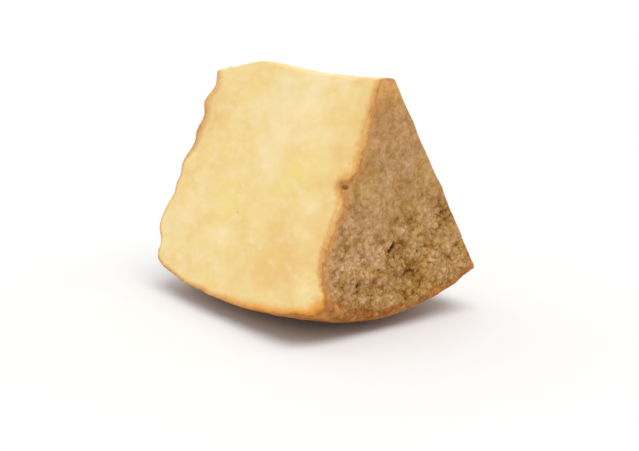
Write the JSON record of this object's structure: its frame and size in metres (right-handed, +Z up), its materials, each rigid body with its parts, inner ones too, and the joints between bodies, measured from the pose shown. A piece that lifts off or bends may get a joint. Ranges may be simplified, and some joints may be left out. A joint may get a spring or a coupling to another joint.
{
  "type": "cheese chunk",
  "caption": "Chunk of aged sheep's-milk cheese: a sector of a drum-shaped wheel with pale cut sides, grainy brown rind and ridged base, standing on its rounded heel.",
  "frame": {"origin": "middle of the chunk's box in plan, on the surface that it stands on", "axes": "+Z up, +X along the axis of the wheel from the ridged base to the plain rind face, -Y towards the cut that shows"},
  "size_m": [0.1264, 0.0958, 0.1038],
  "materials": {
    "cheese": "smooth, faintly waxy cut paste and a dry, grainy rind"
  },
  "bodies": {
    "root": {"pecorino_chunk": "cheese"}
  },
  "joints": []
}
